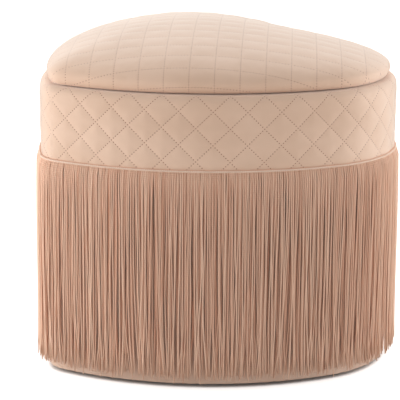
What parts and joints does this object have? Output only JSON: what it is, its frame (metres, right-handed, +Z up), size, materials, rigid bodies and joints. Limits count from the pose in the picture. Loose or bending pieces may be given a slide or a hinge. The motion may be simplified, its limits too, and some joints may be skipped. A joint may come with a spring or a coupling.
{
  "type": "storage pouf",
  "caption": "Heart-shaped storage pouf: a quilted, domed lid lifts off a fabric-covered box with a quilted band and a long hanging fringe, on low glides.",
  "frame": {"origin": "on the floor, under the middle of the plan's bounding box", "axes": "+Z up, the heart's tip towards -Y and its notch towards +Y, X across the two lobes"},
  "size_m": [0.456, 0.43, 0.411],
  "materials": {
    "board": "raw fibreboard, sawn edges",
    "bent_ply": "thin bent plywood, unfinished",
    "timber": "planed softwood",
    "foam": "cut upholstery foam",
    "quilted_cover": "quilted satin-faced velour, stitched in a grid",
    "plain_cover": "plain woven upholstery cloth",
    "fringe_yarn": "twisted rayon yarn",
    "lining": "non-woven lining",
    "dust_cloth": "black non-woven cloth",
    "glide_plastic": "moulded plastic",
    "steel": "zinc-plated steel"
  },
  "bodies": {
    "body": {"base_board": "board", "top_rim": "board", "left_wall": "bent_ply", "right_wall": "bent_ply", "band_padding": "foam", "band_cover": "quilted_cover", "lower_cover": "plain_cover", "fringe_tape": "fringe_yarn", "fringe": "fringe_yarn", "lining_wall": "lining", "lining_floor": "lining", "dust_cover": "dust_cloth", "glide_nails": "steel", "base_screws": "steel", "rim_screws": "steel", "base_staples": "steel", "tip_post": "timber", "right_side_post": "timber", "left_side_post": "timber", "right_lobe_post": "timber", "left_lobe_post": "timber", "notch_post": "timber", "tip_glide": "glide_plastic", "right_side_glide": "glide_plastic", "left_side_glide": "glide_plastic", "right_lobe_glide": "glide_plastic", "left_lobe_glide": "glide_plastic"},
    "lid": {"lid_board": "board", "lid_foam": "foam", "lid_cover": "quilted_cover", "lid_lining": "lining", "locating_board": "board", "locating_screws": "steel", "lid_staples": "steel"}
  },
  "joints": [
    {"name": "lid_lift", "type": "slide", "parent": "body", "child": "lid", "axis": [0, 0, 1], "range_m": [0, 0.25]}
  ]
}
